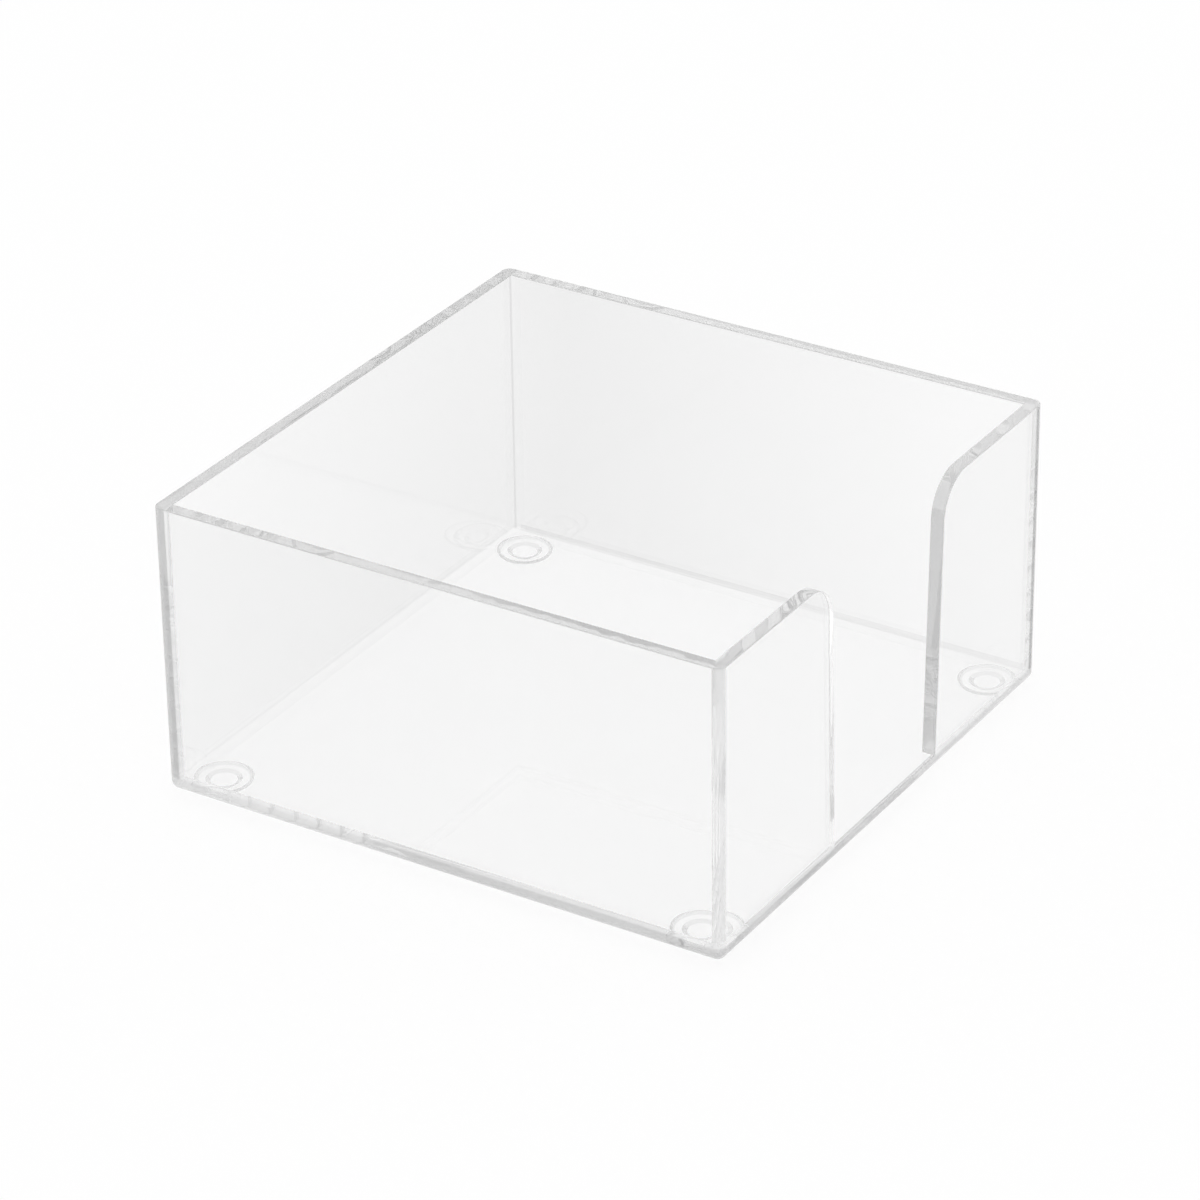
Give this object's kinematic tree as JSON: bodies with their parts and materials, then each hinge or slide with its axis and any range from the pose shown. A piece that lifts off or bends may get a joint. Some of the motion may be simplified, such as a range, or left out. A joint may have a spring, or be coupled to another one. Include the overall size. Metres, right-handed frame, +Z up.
{
  "type": "memo box",
  "caption": "Low open-topped square box of clear acrylic sheet for loose note paper, with a wide finger cut-out in one wall and round bumper feet.",
  "frame": {"origin": "centre of the square footprint, on the plane the bumper feet stand on", "axes": "+Z up, towards the open top; -Y out through the wall with the finger cut-out; +X to the right as seen from the cut-out side"},
  "size_m": [0.108, 0.108, 0.0551],
  "materials": {
    "acrylic": "clear, polished faces, flame-polished edges",
    "bumper": "clear soft polyurethane, smooth"
  },
  "bodies": {
    "root": {"floor_panel": "acrylic", "rear_wall": "acrylic", "left_wall": "acrylic", "right_wall": "acrylic", "front_panel_left": "acrylic", "front_panel_right": "acrylic", "foot_front_left": "bumper", "foot_front_right": "bumper", "foot_rear_left": "bumper", "foot_rear_right": "bumper"}
  },
  "joints": []
}
